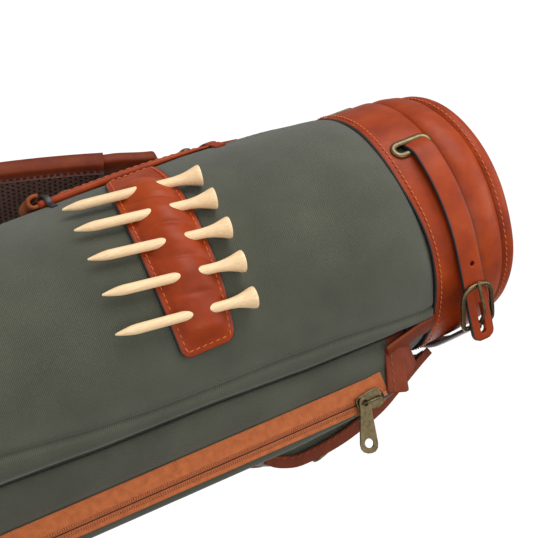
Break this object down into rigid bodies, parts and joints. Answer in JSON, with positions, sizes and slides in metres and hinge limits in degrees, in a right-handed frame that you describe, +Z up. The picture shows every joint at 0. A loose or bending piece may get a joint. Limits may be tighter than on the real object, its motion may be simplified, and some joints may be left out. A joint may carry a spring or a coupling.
{
  "type": "golf carry bag",
  "caption": "Slim single-strap golf carry bag: soft fabric tube with a leather collar and cinch belt, tee holder with tees, zipped pockets, spine handle and padded shoulder strap.",
  "frame": {"origin": "centre of the flat underside of the base", "axes": "+Z up the tube from the base to the mouth, -X is the spine with the carry handle, +X the pocket side, -Y the side with the tee holder"},
  "size_m": [0.2356, 0.1858, 0.88],
  "materials": {
    "canvas": "matte twill",
    "lining": "matte",
    "tan_leather": "semi-gloss",
    "brown_leather": "matte",
    "zip_tape": "woven",
    "zip_coil": "moulded",
    "antique_brass": "antique",
    "tee_wood": "smooth",
    "spacer_mesh": "open mesh",
    "strap_canvas": "matte twill",
    "sole_rubber": "matte",
    "board_plastic": "matte",
    "stay_rod": "satin",
    "spring_steel": "satin"
  },
  "bodies": {
    "bag": {"body_shell": "canvas", "inner_lining": "lining", "base_sole": "sole_rubber", "base_board": "board_plastic", "base_cuff": "tan_leather", "spine_stays": "stay_rod", "collar_band": "tan_leather", "strap_eyelets": "antique_brass", "mouth_roll": "tan_leather", "mouth_lip": "tan_leather", "mouth_hoop": "spring_steel", "mouth_divider": "tan_leather", "divider_panel": "lining", "cinch_strap": "tan_leather", "buckle_strap": "tan_leather", "tee_holder": "tan_leather", "main_pocket": "canvas", "zip_tape_inner": "zip_tape", "zip_tape_outer": "zip_tape", "zip_chain": "zip_coil", "zip_stops": "antique_brass", "zip_top_tab": "brown_leather", "zip_foot_tab": "brown_leather", "pocket_corner_strap": "brown_leather", "accessory_pouch": "canvas", "pouch_bindings": "brown_leather", "pouch_zip_tape_inner": "zip_tape", "pouch_zip_tape_outer": "zip_tape", "pouch_zip_chain": "zip_coil", "pouch_zip_stops": "antique_brass", "carry_handle": "tan_leather", "handle_keepers": "brown_leather", "handle_rivets": "antique_brass", "d_ring_upper": "antique_brass", "d_ring_tab_upper": "brown_leather", "d_ring_lower": "antique_brass", "d_ring_tab_lower": "brown_leather"},
    "tee_1": {"tee_1": "tee_wood"},
    "tee_2": {"tee_2": "tee_wood"},
    "tee_3": {"tee_3": "tee_wood"},
    "tee_4": {"tee_4": "tee_wood"},
    "tee_5": {"tee_5": "tee_wood"},
    "zip_slider": {"zip_slider": "antique_brass"},
    "zip_pull": {"zip_pull": "antique_brass"},
    "pouch_slider": {"pouch_zip_slider": "antique_brass"},
    "pouch_pull": {"pouch_zip_pull": "antique_brass"},
    "shoulder_strap": {"strap_pad": "strap_canvas", "strap_mesh": "spacer_mesh", "strap_binding": "brown_leather", "strap_end_upper": "tan_leather", "strap_end_lower": "tan_leather", "strap_slide_buckle": "antique_brass", "snap_hook_upper": "antique_brass", "snap_hook_lower": "antique_brass"},
    "gate_upper": {"snap_gate_upper": "antique_brass"},
    "gate_lower": {"snap_gate_lower": "antique_brass"},
    "buckle": {"buckle_frame": "antique_brass"},
    "prong": {"buckle_prong": "antique_brass"}
  },
  "joints": [
    {"name": "tee_1_slide", "type": "slide", "parent": "bag", "child": "tee_1", "axis": [0.1277, -0.1813, 0.9751], "range_m": [0, 0.045]},
    {"name": "tee_2_slide", "type": "slide", "parent": "bag", "child": "tee_2", "axis": [0.1455, -0.1324, 0.9804], "range_m": [0, 0.045]},
    {"name": "tee_3_slide", "type": "slide", "parent": "bag", "child": "tee_3", "axis": [0.1493, -0.0859, 0.9851], "range_m": [0, 0.045]},
    {"name": "tee_4_slide", "type": "slide", "parent": "bag", "child": "tee_4", "axis": [0.1411, -0.0451, 0.989], "range_m": [0, 0.045]},
    {"name": "tee_5_slide", "type": "slide", "parent": "bag", "child": "tee_5", "axis": [0.124, -0.0127, 0.9922], "range_m": [0, 0.045]},
    {"name": "zip_slide", "type": "slide", "parent": "bag", "child": "zip_slider", "axis": [0.0246, 0, 0.9997], "range_m": [-0.355, 0.004]},
    {"name": "zip_pull_swing", "type": "hinge", "parent": "zip_slider", "child": "zip_pull", "pos_m": [0.07845, -0.047, 0.76451], "axis": [0, -1, 0], "range_deg": [-73, 57]},
    {"name": "pouch_slide", "type": "slide", "parent": "bag", "child": "pouch_slider", "axis": [0, 1, 0], "range_m": [-0.018, 0.001]},
    {"name": "pouch_pull_swing", "type": "hinge", "parent": "pouch_slider", "child": "pouch_pull", "pos_m": [0.0939, 0.0195, 0.776], "axis": [0.9701, 0, 0.2425], "range_deg": [-90, 40]},
    {"name": "strap_swing", "type": "hinge", "parent": "bag", "child": "shoulder_strap", "pos_m": [-0.07141, 0.04462, 0.503], "axis": [0, 0, 1], "range_deg": [-20, 17]},
    {"name": "gate_upper_open", "type": "hinge", "parent": "shoulder_strap", "child": "gate_upper", "pos_m": [-0.07699, 0.04811, 0.78104], "axis": [0.5299, 0.848, 0], "range_deg": [0, 25], "stiffness_Nm_per_rad": 0.002, "springref_deg": -11.46},
    {"name": "gate_lower_open", "type": "hinge", "parent": "shoulder_strap", "child": "gate_lower", "pos_m": [-0.07699, 0.04811, 0.22496], "axis": [-0.5299, -0.848, 0], "range_deg": [0, 25], "stiffness_Nm_per_rad": 0.002, "springref_deg": -11.46},
    {"name": "buckle_swing", "type": "hinge", "parent": "bag", "child": "buckle", "pos_m": [0.06664, -0.04749, 0.844], "axis": [0, 0, 1], "range_deg": [0, 20]},
    {"name": "prong_swing", "type": "hinge", "parent": "buckle", "child": "prong", "pos_m": [0.06664, -0.04749, 0.844], "axis": [0, 0, 1], "range_deg": [0, 45]}
  ]
}
